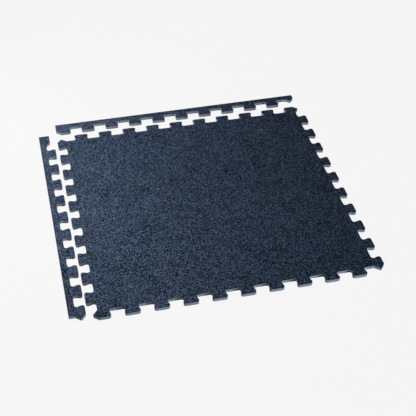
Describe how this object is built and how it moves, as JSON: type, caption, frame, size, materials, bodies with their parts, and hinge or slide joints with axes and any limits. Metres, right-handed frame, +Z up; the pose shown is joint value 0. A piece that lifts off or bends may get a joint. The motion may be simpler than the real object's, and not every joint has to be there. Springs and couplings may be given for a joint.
{
  "type": "interlocking blocking mat",
  "caption": "Square foam blocking mat with a carpet face and dovetail-toothed edges, with two loose toothed border strips beside it, one of which carries the corner piece.",
  "frame": {"origin": "middle of the square tile, on its underside", "axes": "+X right along the tile's free front edge, +Y towards the back border strip, +Z up out of the carpet face"},
  "size_m": [0.6731, 0.6828, 0.0084],
  "materials": {
    "foam": "matte",
    "bond_film": "satin",
    "carpet": "matte"
  },
  "bodies": {
    "tile": {"tile_foam": "foam", "tile_bond_film": "bond_film", "tile_carpet": "carpet"},
    "left_border": {"left_border_foam": "foam", "left_border_bond_film": "bond_film", "left_border_carpet": "carpet"},
    "back_border": {"back_border_foam": "foam", "back_border_bond_film": "bond_film", "back_border_carpet": "carpet"}
  },
  "joints": [
    {"name": "left_border_lift", "type": "slide", "parent": "tile", "child": "left_border", "axis": [0, 0, 1], "range_m": [0, 0.06]},
    {"name": "back_border_lift", "type": "slide", "parent": "tile", "child": "back_border", "axis": [0, 0, 1], "range_m": [0, 0.06]}
  ]
}
